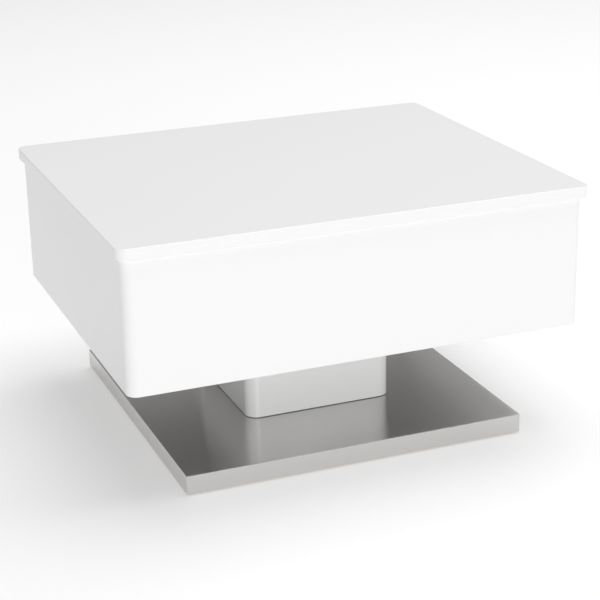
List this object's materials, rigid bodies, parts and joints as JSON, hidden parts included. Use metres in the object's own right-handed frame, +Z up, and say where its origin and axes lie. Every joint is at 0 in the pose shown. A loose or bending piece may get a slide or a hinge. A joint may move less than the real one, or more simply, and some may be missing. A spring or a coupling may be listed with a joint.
{
  "type": "lift top coffee table",
  "caption": "Coffee table with a storage box under a lid that rises forwards on swinging arms, on a square pedestal and a flat square plinth.",
  "frame": {"origin": "centre of the footprint on the floor", "axes": "+X along the long front to the right, front face at -Y, +Z up"},
  "size_m": [0.8, 0.665, 0.436],
  "materials": {
    "white_lacquer": "high-gloss white lacquer on MDF",
    "white_melamine": "satin white melamine on particle board",
    "raw_board": "matte raw MDF",
    "beech": "matte beech",
    "brushed_stainless": "fine brushed stainless steel",
    "zinc_steel": "bright zinc plated",
    "black_steel": "satin black powder coat",
    "spring_steel": "oiled spring wire",
    "brass_insert": "plain machined",
    "black_plastic": "matte moulded",
    "white_nylon": "natural nylon",
    "clear_rubber": "soft translucent",
    "black_rubber": "matte"
  },
  "bodies": {
    "root": {"plinth_core": "raw_board", "plinth_cover": "brushed_stainless", "floor_glides": "black_plastic", "glide_screws": "zinc_steel", "plinth_bolts": "zinc_steel", "plinth_washers": "zinc_steel", "pedestal_gasket": "black_rubber", "pedestal_front": "white_lacquer", "pedestal_right": "white_lacquer", "pedestal_back": "white_lacquer", "pedestal_left": "white_lacquer", "pedestal_board_lower": "raw_board", "pedestal_board_upper": "raw_board", "insert_nuts_lower": "brass_insert", "insert_nuts_upper": "brass_insert", "pedestal_posts": "beech", "box_floor": "white_melamine", "box_front": "white_lacquer", "box_back": "white_lacquer", "box_right": "white_lacquer", "box_left": "white_lacquer", "floor_dowels": "beech", "box_bolts": "zinc_steel", "box_washers": "zinc_steel", "corner_blocks": "white_melamine", "rim_bumpers": "clear_rubber", "base_bracket_left": "black_steel", "base_bracket_right": "black_steel", "base_bracket_screws": "zinc_steel", "front_base_pins": "zinc_steel", "rear_base_pins": "zinc_steel", "base_thrust_washers": "white_nylon", "stop_pins": "zinc_steel", "stop_sleeves": "black_rubber"},
    "lift_frame": {"front_arm_left": "black_steel", "front_arm_right": "black_steel", "cross_tube": "black_steel", "tube_plugs": "zinc_steel", "tube_screws": "zinc_steel", "spring_pegs": "zinc_steel", "torsion_spring_left": "spring_steel", "torsion_spring_right": "spring_steel"},
    "rear_arm_left": {"rear_arm_left": "black_steel"},
    "rear_arm_right": {"rear_arm_right": "black_steel"},
    "lid": {"lid": "white_lacquer", "lid_bracket_left": "black_steel", "lid_bracket_right": "black_steel", "lid_bracket_screws": "zinc_steel", "lid_pivot_pins": "zinc_steel", "lid_thrust_washers": "white_nylon"}
  },
  "joints": [
    {"name": "lift", "type": "hinge", "parent": "root", "child": "lift_frame", "pos_m": [0, -0.15, 0.372], "axis": [1, 0, 0], "range_deg": [0, 105], "stiffness_Nm_per_rad": 6, "springref_deg": 105, "deforming": ["torsion_spring_left", "torsion_spring_right"]},
    {"name": "lid_pivot", "type": "hinge", "parent": "lift_frame", "child": "lid", "pos_m": [0, 0.07, 0.372], "axis": [1, 0, 0], "range_deg": [-105, 0]},
    {"name": "rear_arm_left_pivot", "type": "hinge", "parent": "root", "child": "rear_arm_left", "pos_m": [0, -0.08, 0.344], "axis": [1, 0, 0], "range_deg": [0, 105]},
    {"name": "rear_arm_right_pivot", "type": "hinge", "parent": "root", "child": "rear_arm_right", "pos_m": [0, -0.08, 0.344], "axis": [1, 0, 0], "range_deg": [0, 105]}
  ],
  "couplings": [
    {"joint": "lid_pivot", "follows": "lift", "ratio": -1},
    {"joint": "rear_arm_left_pivot", "follows": "lift", "ratio": 1},
    {"joint": "rear_arm_right_pivot", "follows": "lift", "ratio": 1}
  ]
}
